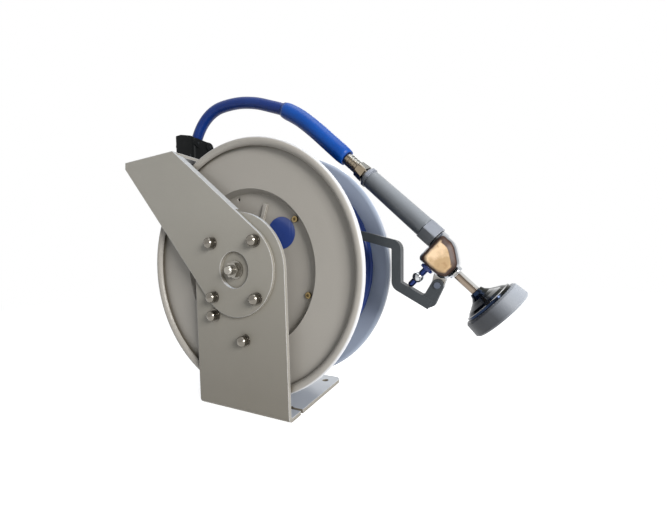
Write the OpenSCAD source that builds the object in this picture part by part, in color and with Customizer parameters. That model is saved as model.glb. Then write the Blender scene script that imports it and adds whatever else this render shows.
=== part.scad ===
// Single-pedestal spring-rewind hose reel with a squeeze-lever spray valve.
// X runs along the pedestal plate, Y runs back along the shaft, Z is up.
// The origin is the centre of the four foot holes, on the underside of the foot.

/* [Pedestal] */
// Height of the shaft above the floor
shaft_h = 209; // [195:1:230]
// Width of the pedestal plate and its foot
post_w = 165; // [140:1:190]
// Thickness of the pedestal plate
post_t = 6; // [4:0.5:8]
// Outer radius of the bend between post and foot
bend_r = 9; // [8:0.5:12]
// Length of the foot, front to back
foot_l = 170; // [150:1:200]
// Radius of the two rear foot corners
foot_corner_r = 12; // [5:1:20]
// Distance between foot holes across
foot_hole_x = 124; // [110:1:135]
// Distance between foot holes front to back
foot_hole_y = 114; // [100:1:125]
// Distance from the rear holes to the rear edge
foot_hole_inset = 23; // [18:1:26]
// Diameter of the foot holes
foot_hole_d = 11; // [8:0.5:14]
// Width of the slot from each front hole to the side edge
foot_slot_w = 6; // [4:0.5:7]

/* [Guide arm] */
// Thickness of the arm plate
arm_t = 5; // [3:0.5:6]
// Radius of the arm's round end about the shaft
arm_end_r = 68; // [62:1:76]
// Height of the arm's top edge above the shaft
arm_top = 187; // [170:1:210]
// Left end of the top edge, measured from the shaft
arm_left = 237; // [215:1:250]
// Right end of the top edge, measured from the shaft
arm_right = 117; // [105:1:120]
// Height of the blunt tip at the left end
arm_tip = 11; // [5:1:20]
// Depth of the bent edge flange, from the arm's front face
arm_flange_d = 13; // [8:0.5:14]
// Gap between the shelf and the flange's top end, along the edge
arm_flange_gap = 10; // [8:1:14]
// Length of the edge flange
arm_flange_l = 155; // [100:1:155]
// Length of the guide shelf behind the arm plate
shelf_l = 105; // [100:1:115]
// Width of the guide shelf
shelf_w = 70; // [66:1:80]
// Radius of the window round the shaft nut
arm_window_r = 26.5; // [22:0.5:29]
// Distance between the arm bolts
arm_bolt_pitch = 79.4; // [74:0.2:84]
// Diameter of the arm bolts
bolt_d = 8; // [6:0.5:10]

/* [Hose guide] */
// Outer size of the square guide block
guide_w = 44; // [43:1:50]
// Height of the guide block
guide_h = 44; // [40:1:50]
// How far the guide block's left wall stands out further
guide_ear = 4; // [0:0.5:6]
// Wall of the guide block
guide_wall = 4; // [3:0.5:4]
// Diameter of the guide rollers
roller_d = 8; // [7:0.5:8]
// Diameter of the roller pins
pin_d = 4; // [3:0.5:4]

/* [Reel] */
// Outer radius of the discs
disc_r = 190; // [184:1:195]
// Sheet thickness of the discs
disc_t = 1.8; // [1.2:0.1:2.4]
// Radius of the rolled bead on the rim
bead_r = 6.2; // [4:0.1:8]
// Distance between the two rim beads
bead_pitch = 111.4; // [111:0.1:116]
// Gap between the pedestal and the front bead
disc_gap = 3.6; // [3:0.1:4]
// Radius of the pressed hub recess at the disc face
recess_r = 118.6; // [116:0.1:119]
// Depth of the recess down to the hub plate
recess_d = 11.5; // [9:0.5:13]
// Outside radius of the drum barrel
drum_r = 122; // [121.8:0.1:122.2]
// Wall of the drum barrel
drum_wall = 2; // [1:0.1:2]
// Thickness of the hub plates
hub_t = 2; // [1.5:0.1:3]
// Radius of the hub screw circle
hub_screw_r = 107.4; // [104:0.2:108]
// Number of screws in each hub plate
hub_screws_n = 6; // [4:1:8]
// Diameter of the round plate on the hub
badge_d = 46; // [35:1:46]

/* [Shaft and spring] */
// Diameter of the fixed shaft
shaft_d = 25; // [20:1:28]
// Length of the shaft behind the pedestal
shaft_l = 118; // [116:1:124]
// Diameter of the water bore in the shaft
water_d = 10; // [6:1:12]
// Outside radius of the spring case
case_r = 98; // [80:1:99]
// Depth of the spring case
case_l = 54; // [40:1:56]
// Thickness of the spring strip
strip_t = 1.2; // [0.8:0.1:2]
// Turns of the spring strip
strip_turns = 8; // [4:1:10]
// Outer radius of the ratchet
ratchet_r = 58; // [54:0.5:60]
// Teeth on the ratchet
ratchet_teeth = 12; // [8:4:16]
// Travel of the pawl, in degrees
pawl_swing = 11; // [8:1:12]

/* [Hose] */
// Outside diameter of the hose
hose_d = 18; // [16:0.2:18.2]
// Outside diameter of the bend sleeve
sleeve_d = 25; // [22:0.5:28]

/* [Spray valve] */
// Diameter of the grip
grip_d = 26.5; // [22:0.5:30]
// Length of the grip
grip_l = 101; // [80:1:120]
// Width across the flats of the grip's hexagon end
grip_hex = 27; // [24:0.5:30]
// Offset of the spray axis from the grip axis
spray_off = 15.5; // [12:0.5:16]
// Diameter of the neck
neck_d = 11; // [9:0.5:14]
// Length of the neck and bell, from the valve body to the rubber ring
spray_l = 52.5; // [50:0.5:65]
// Diameter of the bell rim
bell_d = 61; // [52:1:64]
// Diameter of the rubber ring at its front
bumper_d = 74.6; // [70:0.2:82]
// Thickness of the rubber ring
bumper_l = 19; // [14:1:24]
// Depth of the lever bar, seen from the side
lever_t = 12; // [9:0.5:13]
// Width of the lever bar
lever_w = 16; // [14:0.5:18]
// Squeeze of the lever, in degrees
lever_swing = 12; // [6:1:12]

/* [Fits] */
// Radial clearance of a running fit
run_fit = 0.05; // [0.02:0.01:0.1]
// Radial clearance of a bolt in its hole
bolt_fit = 0.25; // [0.1:0.05:0.5]
// Gap between soft or loosely seated pieces
seat_gap = 0.3; // [0.2:0.05:0.5]

/* [Hidden] */
$fn = 64;

// Stations along the shaft, front to back
foot_front = foot_hole_inset - foot_l + foot_hole_y / 2;
post_back = foot_front + post_t;
arm_front = foot_front - arm_t;
front_bead_y = post_back + disc_gap + bead_r;
back_bead_y = front_bead_y + bead_pitch;
front_in = front_bead_y + bead_r;
back_in = back_bead_y - bead_r;
drum_w = back_in - front_in;
drum_mid = (front_in + back_in) / 2;
// Outer faces of the recess floors and of the hub plates behind them
front_floor = front_in - disc_t + recess_d;
rear_floor = back_in + disc_t - recess_d;
front_hub = front_floor + disc_t;
rear_hub = rear_floor - disc_t;
front_case = front_hub + hub_t;

shaft_r = shaft_d / 2;
shaft_end = post_back + shaft_l;
stub_r = 8;
thread_r = 6;
shoulder_r = 20;
shoulder_l = 5.5;

// Hose on the drum: two layers, laid half a turn level and half a turn stepping across
hose_r = hose_d / 2;
inner_lay_r = drum_r + hose_r + 0.5;
outer_lay_r = inner_lay_r + hose_d + 0.5;
lay_pitch = 19.75;
lay_steps = 4;
lay_front = drum_mid - lay_pitch * lay_steps / 2;
lay_back = drum_mid + lay_pitch * lay_steps / 2;
out_first = drum_mid + 19;
out_last = drum_mid - 1.5;
wind_turns = 6.25;
wind_start_a = 180 + 360 * wind_turns;
// The lead-off end stays inside this radius at every angle of the reel
sweep_r = 167.3;

// Pawl, seen from the front, measured from the shaft
pawl_at = [-45, -68];
anchor_at = [12, -101];
pawl_tip_a = 208;
pawl_tip_r = ratchet_r - 6;
ratchet_t = 5;
ratchet_front = post_back + 7;
ratchet_back = ratchet_front + ratchet_t;
pawl_pin_r = 4;

// Spray valve frame: Z runs along the grip to the spray, X points to the lever side
valve_at = [251.4, 256.6];
valve_tilt = 135;
valve_y = out_last;
body_mid = [12, 42];
pivot_at = [41, 61];
stem_z = 37;
bar_x = 67.7;
lever_pin_r = 2.5;
stem_r = 4;
dome_r = 4;
bonnet_end = 37;
neck_start = 64;
bumper_start = neck_start + spray_l;
lug_t = 6;

// Stem travel per radian of the lever, and over its whole squeeze
stem_per_rad = 30.5;
stem_travel = stem_per_rad * lever_swing * PI / 180;
echo(stem_travel = stem_travel);

// Route of the free hose, from the drum to the ferrule
hose_route = [
    [-150, -20, 283], [-150, -20, 320], [-150, -20, 356], [-150, -20, 392], [-150, -20, 412],
    [-146, -20, 436], [-134, -20, 457], [-118, -20, 472], [-99, -20, 481], [-78, -20, 484],
    [-44, -20, 482], [-10, -20, 474], [20, -20, 462], [46, -20, 450], [72, -20, 433],
    [98, -20, 410], [122, -20, 386], [147, -20, 361]
];
sleeve_from = 13;

// ---- Functions ----

function unit(v) = v / norm(v);

function tangent(path, i) =
    unit(path[min(i + 1, len(path) - 1)] - path[max(i - 1, 0)]);

// Ring of a tube about a point, square to its direction; no route runs along Y
function ring(at, dir, r, sides) =
    let (side = unit(cross([0, 1, 0], dir)), up = cross(dir, side))
    [for (k = [0:sides - 1]) let (a = 360 * (k + 0.5) / sides) at + r * (cos(a) * side + sin(a) * up)];

function tube_rings(path, r, sides) =
    [for (i = [0:len(path) - 1]) ring(path[i], tangent(path, i), r, sides)];

// Ring moved along Z onto a cylinder about the shaft
function trim_ring(pts, r) =
    [for (p = pts) [p[0], p[1], shaft_h + sqrt(r * r - p[0] * p[0])]];

// Distance along the drum of the hose centre, after t turns from the fitting
function lay_y(t) =
    t < lay_steps ? lay_front + lay_pitch * (floor(t) + max(0, 2 * (t - floor(t)) - 1)) :
    t < 4.5 ? lay_back :
    t < 5 ? lay_back + (out_first - lay_back) * (t - 4.5) * 2 :
    t < 5.5 ? out_first :
    t < 6 ? out_first + (out_last - out_first) * (t - 5.5) * 2 : out_last;

function lay_r(t) =
    t < 4 ? inner_lay_r : t < 4.5 ? inner_lay_r + (outer_lay_r - inner_lay_r) * (t - 4) * 2 : outer_lay_r;

function wind_point(t) =
    let (a = wind_start_a - 360 * t) [lay_r(t) * cos(a), lay_y(t), shaft_h + lay_r(t) * sin(a)];

// Point at distance d behind the start of the winding, on its straight end
function wind_lead(d) =
    wind_point(0) - d * [sin(wind_start_a), 0, -cos(wind_start_a)];

// Touching point on a circle at the origin of a line from p, on side s
function touch(p, r, s) =
    let (a = atan2(p[1], p[0]) + s * acos(r / norm(p))) [r * cos(a), r * sin(a)];

// Path through the points with every inner corner rounded to radius r
function rounded(pts, r, steps = 5) = [
    pts[0],
    for (i = [1:len(pts) - 2])
        let (
            a = unit(pts[i - 1] - pts[i]), b = unit(pts[i + 1] - pts[i]),
            half = acos(a * b) / 2, cut = r / tan(half),
            mid = pts[i] + unit(a + b) * r / sin(half),
            from = pts[i] + a * cut - mid, to = pts[i] + b * cut - mid,
            turn = 180 - 2 * half, way = sign(from[0] * to[1] - from[1] * to[0])
        )
        for (k = [0:steps]) let (t = way * turn * k / steps)
            mid + [from[0] * cos(t) - from[1] * sin(t), from[0] * sin(t) + from[1] * cos(t)],
    pts[len(pts) - 1]
];

// Outline of a bar of even thickness along a path
function bar_outline(path, t) =
    let (
        n = len(path),
        sides = [for (i = [0:n - 1]) let (d = tangent(path, i)) [-d[1], d[0]] * t / 2]
    )
    concat([for (i = [0:n - 1]) path[i] + sides[i]], [for (i = [n - 1:-1:0]) path[i] - sides[i]]);

// ---- Shared shapes ----

// Solid through rings of points, closed by a fan at both ends
module skin(rings) {
    n = len(rings);
    s = len(rings[0]);
    first = n * s;
    function mean(pts) = [for (c = [0:2]) [for (p = pts) p[c]] * [for (p = pts) 1] / len(pts)];
    points = concat([for (r = rings) each r], [mean(rings[0]), mean(rings[n - 1])]);
    walls = [
        for (i = [0:n - 2], k = [0:s - 1])
            let (a = i * s + k, b = i * s + (k + 1) % s) each [[a, b, b + s], [a, b + s, a + s]]
    ];
    ends = [
        for (k = [0:s - 1])
            each [[first, (k + 1) % s, k], [first + 1, (n - 1) * s + k, (n - 1) * s + (k + 1) % s]]
    ];
    polyhedron(points = points, faces = [for (f = concat(walls, ends)) [f[0], f[2], f[1]]]);
}

// Turns Z to the front, with X to the right and Y up, at the shaft
module facing_front(y, x = 0, z = 0) {
    translate([x, y, shaft_h + z]) rotate([90, 0, 0]) children();
}

module facing_back(y, x = 0, z = 0) {
    translate([x, y, shaft_h + z]) rotate([-90, 0, 0]) children();
}

module ring_solid(r_out, r_in, h) {
    difference() {
        cylinder(r = r_out, h = h);
        translate([0, 0, -1]) cylinder(r = r_in, h = h + 2);
    }
}

module hex_prism(flats, h) {
    cylinder(d = flats / cos(30), h = h, $fn = 6);
}

// Round head with a domed top, on a shank that runs down from its seat
module dome_screw(head_r, head_h, shank_r, shank_l) {
    intersection() {
        cylinder(r = head_r, h = head_h);
        translate([0, 0, head_h - head_r * 1.15]) sphere(r = head_r * 1.15);
    }
    translate([0, 0, -shank_l]) cylinder(r = shank_r, h = shank_l + 0.5);
}

module valve_frame() {
    translate([valve_at[0], valve_y, valve_at[1]]) rotate([0, valve_tilt, 0]) children();
}

// Along the lever side: Z points from the valve axis to the lever
module lever_side(z, x = 0) {
    valve_frame() translate([x, 0, z]) rotate([0, 90, 0]) children();
}

arm_holes = [for (sx = [-1, 1], sz = [-1, 1]) [sx, sz] * arm_bolt_pitch / 2];
foot_holes = [for (sx = [-1, 1], sy = [-1, 1]) [sx * foot_hole_x, sy * foot_hole_y] / 2];

// ---- Pedestal and guide arm ----

// Side view of the bent plate, X back and Y up
module post_profile() {
    top = shaft_h + post_w / 2 + 1;
    translate([0, bend_r]) square([post_t, top - bend_r]);
    translate([bend_r, 0]) square([foot_l - bend_r, post_t]);
    intersection() {
        square(bend_r);
        difference() {
            translate([bend_r, bend_r]) circle(r = bend_r);
            translate([bend_r, bend_r]) circle(r = bend_r - post_t);
        }
    }
}

module post_face() {
    translate([-post_w / 2, 0]) square([post_w, shaft_h]);
    translate([0, shaft_h]) circle(r = post_w / 2);
}

module foot_outline() {
    front = foot_front - 1;
    back = foot_front + foot_l;
    translate([-post_w / 2, front]) square([post_w, back - foot_corner_r - front]);
    translate([-post_w / 2 + foot_corner_r, front]) square([post_w - 2 * foot_corner_r, back - front]);
    for (s = [-1, 1]) {
        translate([s * (post_w / 2 - foot_corner_r), back - foot_corner_r]) circle(r = foot_corner_r);
    }
}

module pedestal() color([0.69, 0.68, 0.64]) {
    relief = 3;
    difference() {
        intersection() {
            translate([-post_w / 2 - 1, foot_front, 0]) rotate([90, 0, 90])
                linear_extrude(post_w + 2) post_profile();
            translate([0, foot_front + foot_l + 1, 0]) rotate([90, 0, 0])
                linear_extrude(foot_l + 2) post_face();
            linear_extrude(shaft_h + post_w) foot_outline();
        }
        for (p = foot_holes) {
            translate([p[0], p[1], -1]) cylinder(d = foot_hole_d, h = post_t + 2);
        }
        for (s = [-1, 1]) {
            translate([s * foot_hole_x / 2 - (s < 0 ? 40 : 0), -foot_hole_y / 2 - foot_slot_w / 2, -1])
                cube([40, foot_slot_w, post_t + 2]);
            translate([s * post_w / 4 - relief / 2, foot_front - 1, -1])
                cube([relief, 4, relief + 1]);
        }
        for (p = arm_holes) {
            facing_front(post_back + 1, p[0], p[1]) cylinder(r = bolt_d / 2 + bolt_fit, h = post_t + 2);
        }
        for (p = [pawl_at, anchor_at]) {
            facing_front(post_back + 1, p[0], p[1]) cylinder(r = pawl_pin_r + bolt_fit, h = post_t + 2);
        }
        facing_front(post_back + 1) cylinder(r = stub_r + bolt_fit, h = post_t + 2);
    }
}

arm_corner = [-arm_right, arm_top];
arm_low = [-arm_left - 1, arm_top - arm_tip];
arm_touch = touch(arm_corner, arm_end_r, -1);

module arm_face() {
    polygon([[-arm_left, arm_top], arm_corner, arm_touch, [0, 0], touch(arm_low, arm_end_r, 1), arm_low]);
    circle(r = arm_end_r);
}

// The plate, its bent edge flange and the shelf for the hose guide are one bent sheet
module guide_arm() color([0.71, 0.70, 0.66]) {
    edge = arm_touch - arm_corner;
    edge_a = atan2(edge[1], edge[0]);
    difference() {
        union() {
            facing_front(foot_front) linear_extrude(arm_t) arm_face();
            facing_front(foot_front + arm_flange_d - arm_t)
                linear_extrude(arm_flange_d - arm_t / 2)
                translate(arm_corner) rotate(edge_a) translate([arm_flange_gap, -arm_t])
                square([arm_flange_l - arm_flange_gap, arm_t]);
            translate([-arm_right - shelf_w, foot_front - arm_t / 2, shaft_h + arm_top - arm_t])
                cube([shelf_w, shelf_l - arm_t / 2, arm_t]);
        }
        facing_front(foot_front + 1) cylinder(r = arm_window_r, h = arm_t + 2);
        for (p = arm_holes) {
            facing_front(foot_front + 1, p[0], p[1]) cylinder(r = bolt_d / 2 + bolt_fit, h = arm_t + 2);
        }
        translate([-guide_x, out_last, shaft_h + arm_top - arm_t - 1]) {
            translate([-guide_hole / 2, -guide_hole / 2, 0]) cube([guide_hole, guide_hole, arm_t + 2]);
            for (p = guide_holes) {
                translate([p[0], p[1], 0]) cylinder(r = guide_screw_r + bolt_fit, h = arm_t + 2);
            }
        }
    }
}

module arm_bolts() color([0.78, 0.77, 0.74]) {
    for (p = arm_holes) {
        facing_front(arm_front, p[0], p[1]) {
            cylinder(r = 9, h = 1.6);
            translate([0, 0, 1.6]) dome_screw(7.5, 12, bolt_d / 2, 1.6 + arm_t + post_t + 6);
        }
    }
}

module arm_nuts() color([0.70, 0.70, 0.68]) {
    for (p = arm_holes) {
        facing_back(post_back, p[0], p[1]) difference() {
            union() {
                cylinder(r = bolt_d, h = 1.2);
                translate([0, 0, 1.2]) hex_prism(bolt_d * 1.6, 4.4);
            }
            translate([0, 0, -1]) cylinder(r = bolt_d / 2 + run_fit, h = 9);
        }
    }
}

// ---- Shaft and inlet ----

module main_shaft() color([0.74, 0.74, 0.72]) {
    difference() {
        union() {
            facing_back(post_back) cylinder(r = shaft_r, h = shaft_l);
            facing_back(post_back) cylinder(r = shoulder_r, h = shoulder_l);
            facing_front(post_back + 1) cylinder(r = stub_r, h = post_t + 1);
            facing_front(foot_front + 1) cylinder(r = thread_r, h = 12);
        }
        facing_front(shaft_end + 1) cylinder(d = water_d, h = shaft_end + 1 - riser_y + water_d / 2);
        translate([0, riser_y, shaft_h - shaft_r - 1]) cylinder(r = riser_bore_r, h = 2 * shaft_r + 2);
    }
}

// Washer, hexagon nut and domed cap in one piece
module shaft_nut() color([0.80, 0.79, 0.75]) {
    facing_front(foot_front) difference() {
        union() {
            cylinder(r = 13, h = 2);
            translate([0, 0, 2]) hex_prism(20, 8);
            translate([0, 0, 9]) cylinder(r = 7.2, h = 4.5);
            translate([0, 0, 13.5]) intersection() {
                sphere(r = 7.2);
                translate([0, 0, -1]) cylinder(r = 8, h = 6);
            }
        }
        translate([0, 0, -1]) cylinder(r = thread_r + run_fit, h = 12.5);
    }
}

module spring_arbor() color([0.55, 0.55, 0.54]) {
    facing_back(arbor_front) ring_solid(arbor_r, shaft_r, arbor_l);
}

module shaft_collar() color([0.60, 0.60, 0.58]) {
    facing_back(rear_bush_end + 1) ring_solid(arbor_r, shaft_r, 6);
}

// Elbow on the shaft's rear end, with its threaded port pointing down
elbow_y = shaft_end + 14;
port_r = 9.3;
port_l = 14;

module inlet_elbow() color([0.72, 0.66, 0.50]) {
    difference() {
        union() {
            facing_back(shaft_end) cylinder(r = 15, h = 14);
            translate([0, elbow_y, shaft_h]) sphere(r = 15);
            translate([0, elbow_y, shaft_h - 38]) cylinder(r = 13, h = 38);
            translate([0, elbow_y, shaft_h - 38]) hex_prism(28, 12);
        }
        facing_back(shaft_end - 1) cylinder(d = water_d, h = 15);
        translate([0, elbow_y, shaft_h - 30]) cylinder(d = water_d, h = 30);
        translate([0, elbow_y, shaft_h - 39]) cylinder(r = port_r, h = port_l + 1);
    }
}

// ---- Pawl mechanism ----

// Head and washer in front of the pedestal, shoulder behind it, pin through the pawl
module pawl_bolt() color([0.76, 0.75, 0.72]) {
    facing_front(foot_front, pawl_at[0], pawl_at[1]) {
        cylinder(r = 10, h = 1.6);
        translate([0, 0, 1.6]) dome_screw(7.5, 12, pawl_pin_r, 1.6 + ratchet_back + 2 - foot_front);
    }
    facing_back(post_back, pawl_at[0], pawl_at[1]) cylinder(r = 6.5, h = ratchet_front - post_back);
}

module pawl_clip() color([0.45, 0.45, 0.45]) {
    facing_back(ratchet_back + 0.1, pawl_at[0], pawl_at[1]) ring_solid(7, pawl_pin_r, 1.2);
}

module anchor_bolt() color([0.76, 0.75, 0.72]) {
    facing_front(foot_front, anchor_at[0], anchor_at[1]) {
        cylinder(r = 9, h = 1.6);
        translate([0, 0, 1.6]) dome_screw(7.5, 12, pawl_pin_r, 1.6 + ratchet_front - 1 - foot_front);
    }
}

function coil_point(r, a, y) =
    [pawl_at[0] + r * cos(a), y, shaft_h + pawl_at[1] + r * sin(a)];

// Torsion spring round the pawl bolt, with one leg under the anchor bolt
module pawl_spring() color([0.50, 0.50, 0.50]) {
    wire_r = 0.8;
    coil_r = 6.5 + wire_r + 0.3;
    turns = 2;
    y0 = post_back + wire_r + 0.2;
    y1 = ratchet_front - wire_r - 0.6;
    toward = anchor_at - pawl_at;
    slope = atan2(toward[1], toward[0]) - asin((coil_r - pawl_pin_r - wire_r) / norm(toward));
    lead = slope + 90;
    start = coil_point(coil_r, lead, y0);
    leg = start + (norm(toward) + 5) * [cos(slope), 0, sin(slope)];
    up_a = lead + 360 * turns + 70;
    steps = 12 * turns + 2;
    finish_at = coil_point(coil_r, up_a, y1);
    path = concat(
        [leg, (leg + start) / 2],
        [
            for (k = [0:steps]) let (f = k / steps)
                coil_point(coil_r, lead + (up_a - lead) * f, y0 + (y1 - y0) * f)
        ],
        [finish_at + 14 * [cos(up_a + 90), 0, sin(up_a + 90)]]
    );
    skin(tube_rings(path, wire_r, 8));
}

module ratchet_outline() {
    foot_r = ratchet_r - 8;
    difference() {
        circle(r = ratchet_r);
        for (i = [0:ratchet_teeth - 1]) {
            rotate(pawl_tip_a - 8 + 360 * i / ratchet_teeth) polygon([
                [foot_r, 0], [ratchet_r + 2, 0], [(ratchet_r + 2) * cos(26), (ratchet_r + 2) * sin(26)],
                [foot_r * cos(19), foot_r * sin(19)]
            ]);
        }
    }
}

module ratchet() color([0.52, 0.52, 0.50]) {
    facing_back(ratchet_front) difference() {
        linear_extrude(ratchet_t) mirror([0, 1]) ratchet_outline();
        translate([0, 0, -1]) cylinder(r = shaft_r + 0.5, h = ratchet_t + 2);
        for (k = [0:3]) {
            rotate(45 + 90 * k) translate([36, 0, -1]) cylinder(r = 5, h = ratchet_t + 2);
        }
    }
}

// The pawl is drawn from its engaged place, turned back to its free rest
module pawl() color([0.58, 0.57, 0.55]) {
    tip = pawl_tip_r * [cos(pawl_tip_a), sin(pawl_tip_a)] - pawl_at;
    reach = norm(tip);
    facing_front(ratchet_back, pawl_at[0], pawl_at[1])
        rotate(atan2(tip[1], tip[0]) + pawl_swing) linear_extrude(ratchet_t - 0.1) difference() {
            union() {
                circle(r = 9);
                polygon([[0, -7], [reach - 9, -3], [reach, -1.5], [reach, 1.5], [reach - 9, 4], [0, 8]]);
            }
            circle(r = pawl_pin_r + run_fit);
        }
}

// ---- Hose guide ----

guide_x = outer_lay_r;
guide_z = shaft_h + arm_top;
guide_hole = guide_w - 2 * guide_wall - 8;
guide_screw_r = 2;
guide_holes = [for (sx = [-1, 1], sy = [-1, 1]) [sx, sy] * (guide_w / 2 - 4.5)];
// The rollers leave this much room on each side of the hose
roller_gap = 0.5;
roller_off = hose_r + roller_gap + roller_d / 2;
low_z = guide_z + 10.5;
high_z = guide_z + guide_h - 12;
roller_l = guide_w - 2 * guide_wall - 1;

module guide_frame() color([0.09, 0.10, 0.11]) {
    corner = 6;
    inner = guide_w - 2 * guide_wall;
    mid = guide_w - 2 * corner;
    left = -guide_w / 2 - guide_ear;
    translate([-guide_x, out_last, guide_z]) difference() {
        union() {
            intersection() {
                linear_extrude(guide_h + guide_ear + 4) hull() {
                    for (sx = [left + corner, mid / 2], sy = [-1, 1]) {
                        translate([sx, sy * mid / 2]) circle(r = corner);
                    }
                }
                translate([0, guide_w, 0]) rotate([90, 0, 0]) linear_extrude(2 * guide_w) polygon([
                    [left - 1, -1], [left - 1, guide_h], [left + 4, guide_h + guide_ear + 2],
                    [left + 17, guide_h + guide_ear + 2], [guide_w / 2 - 7, guide_h],
                    [guide_w / 2 + 1, guide_h - 5], [guide_w / 2 + 1, -1]
                ]);
            }
            for (s = [-1, 1]) {
                translate([-guide_w / 2 - 1.5, s * roller_off, high_z - guide_z])
                    rotate([0, 90, 0]) cylinder(r = 8, h = guide_w + 3);
            }
        }
        translate([-inner / 2, -inner / 2, 4]) cube([inner, inner, guide_h + guide_ear]);
        translate([-guide_hole / 2, -guide_hole / 2, -1]) cube([guide_hole, guide_hole, 6]);
        for (p = guide_holes) {
            translate([p[0], p[1], -1]) cylinder(r = guide_screw_r, h = 6);
        }
        for (s = [-1, 1]) {
            translate([-guide_w, s * roller_off, high_z - guide_z])
                rotate([0, 90, 0]) cylinder(d = pin_d, h = 2 * guide_w);
            translate([s * roller_off, guide_w, low_z - guide_z])
                rotate([90, 0, 0]) cylinder(d = pin_d, h = 2 * guide_w);
        }
    }
}

module guide_screws() color([0.62, 0.62, 0.60]) {
    for (p = guide_holes) {
        translate([-guide_x + p[0], out_last + p[1], guide_z - arm_t]) {
            translate([0, 0, -2.4]) cylinder(r = 3.8, h = 2.4);
            translate([0, 0, -0.5]) cylinder(r = guide_screw_r, h = arm_t + 4);
        }
    }
}

// Pin and roller lie along Y for the low pair and along X for the high pair
module along_guide(low, s) {
    if (low) {
        translate([-guide_x + s * roller_off, out_last, low_z]) rotate([90, 0, 0]) children();
    } else {
        translate([-guide_x, out_last + s * roller_off, high_z]) rotate([0, 90, 0]) children();
    }
}

module roller_pins() color([0.72, 0.72, 0.70]) {
    for (low = [true, false], s = [-1, 1]) {
        pin_l = low ? guide_w + 1 : guide_w + 4;
        along_guide(low, s) translate([0, 0, -pin_l / 2]) cylinder(r = pin_d / 2, h = pin_l);
    }
}

module roller(low, s) color([0.16, 0.16, 0.17]) {
    along_guide(low, s) translate([0, 0, -roller_l / 2])
        ring_solid(roller_d / 2, pin_d / 2 + run_fit, roller_l);
}

module roller_left() roller(true, -1);
module roller_right() roller(true, 1);
module roller_front() roller(false, -1);
module roller_back() roller(false, 1);

// ---- Reel ----

// Radius of the recess floor, of its inner edge and of the hub plate behind it
floor_r = recess_r - 5.6;
floor_in = 46;
plate_r = 112;
screw_phase = -20.5;
hub_screw_hole = 2.6;
missing_screw = 2;

// Pressed disc with its inner face at Z 0, rim bead and hub recess; Z points outwards
module disc_pressing() {
    floor_z = disc_t - recess_d;
    rotate_extrude($fn = 180) {
        polygon([
            [disc_r - bead_r, 0], [disc_r - bead_r, disc_t], [recess_r, disc_t], [floor_r, floor_z],
            [floor_in, floor_z], [floor_in, floor_z - disc_t], [floor_r + disc_t, floor_z - disc_t],
            [recess_r + 1.2, 0]
        ]);
        translate([disc_r - bead_r, bead_r]) difference() {
            circle(r = bead_r);
            circle(r = bead_r - disc_t);
            translate([-bead_r - 1, disc_t - bead_r]) square([bead_r + 1, bead_r - disc_t + 1]);
        }
    }
    // Stiffening ribs on the recess floor
    for (a = [70, 250]) {
        rotate(a) translate([71, -3, floor_z - 0.5]) cube([29, 6, 4]);
    }
}

module at_hub_screws() {
    for (i = [0:hub_screws_n - 1]) {
        rotate(screw_phase + 360 * i / hub_screws_n) translate([hub_screw_r, 0, 0]) children();
    }
}

module hub_bores(z0, h) {
    at_hub_screws() translate([0, 0, z0]) cylinder(r = hub_screw_hole, h = h);
}

module front_disc() color([0.70, 0.69, 0.65]) {
    difference() {
        facing_front(front_in) difference() {
            disc_pressing();
            hub_bores(-recess_d - 3, 8);
        }
        along_riser(floor_r - 4) cylinder(r = riser_r + 0.3, h = 15);
    }
}

module back_disc() color([0.70, 0.69, 0.65]) {
    facing_back(back_in) difference() {
        disc_pressing();
        hub_bores(-recess_d - 3, 8);
    }
}

module drum_barrel() color([0.62, 0.61, 0.58]) {
    difference() {
        facing_back(front_in) ring_solid(drum_r, drum_r - drum_wall, drum_w, $fn = 180);
        along_riser(drum_r - 5) cylinder(r = riser_r + 0.3, h = 9);
    }
}

// Hub plate with its outer face at hub_t; Z points outwards
module hub_plate() {
    difference() {
        cylinder(r = plate_r, h = hub_t, $fn = 180);
        translate([0, 0, -1]) cylinder(r = bush_r, h = hub_t + 2);
        hub_bores(-1, hub_t + 2);
    }
}

module front_hub_plate() color([0.68, 0.67, 0.63]) {
    facing_front(front_case) hub_plate();
}

module rear_hub_plate() color([0.68, 0.67, 0.63]) {
    facing_back(rear_hub - hub_t) hub_plate();
}

// Socket head screws; one place at the front is left as a bare hole
module hub_screws() color([0.72, 0.62, 0.38]) {
    for (i = [0:hub_screws_n - 1]) {
        a = screw_phase + 360 * i / hub_screws_n;
        if (i != missing_screw) {
            facing_front(front_floor) rotate(a) translate([hub_screw_r, 0, 0]) hub_screw();
        }
        facing_back(rear_floor) rotate(a) translate([hub_screw_r, 0, 0]) hub_screw();
    }
}

module hub_screw() {
    shank = disc_t + hub_t + 4;
    difference() {
        cylinder(r = 4.4, h = 3);
        translate([0, 0, 1.2]) cylinder(r = 2.3, h = 3, $fn = 6);
    }
    translate([0, 0, -shank]) cylinder(r = hub_screw_hole, h = shank + 0.5);
}

module hub_badge() color([0.16, 0.24, 0.50]) {
    facing_front(front_floor, 58.5, 50.7) cylinder(d = badge_d, h = 0.8, $fn = 96);
}

bush_r = shaft_r + 5.5;
rear_bush_end = rear_hub + 5;
rear_bush_l = hub_t + 14;

module front_bush() color([0.75, 0.62, 0.35]) {
    facing_back(front_hub) ring_solid(bush_r, shaft_r + run_fit, hub_t + 3.5);
}

module rear_bush() color([0.75, 0.62, 0.35]) {
    facing_back(rear_bush_end - rear_bush_l) ring_solid(bush_r, shaft_r + run_fit, rear_bush_l);
}

// ---- Spring inside the drum ----

arbor_r = 20;
arbor_front = front_case + 4.5;
arbor_l = case_l - 10;
strip_front = arbor_front + 2;
strip_w = arbor_l - 4;

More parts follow.
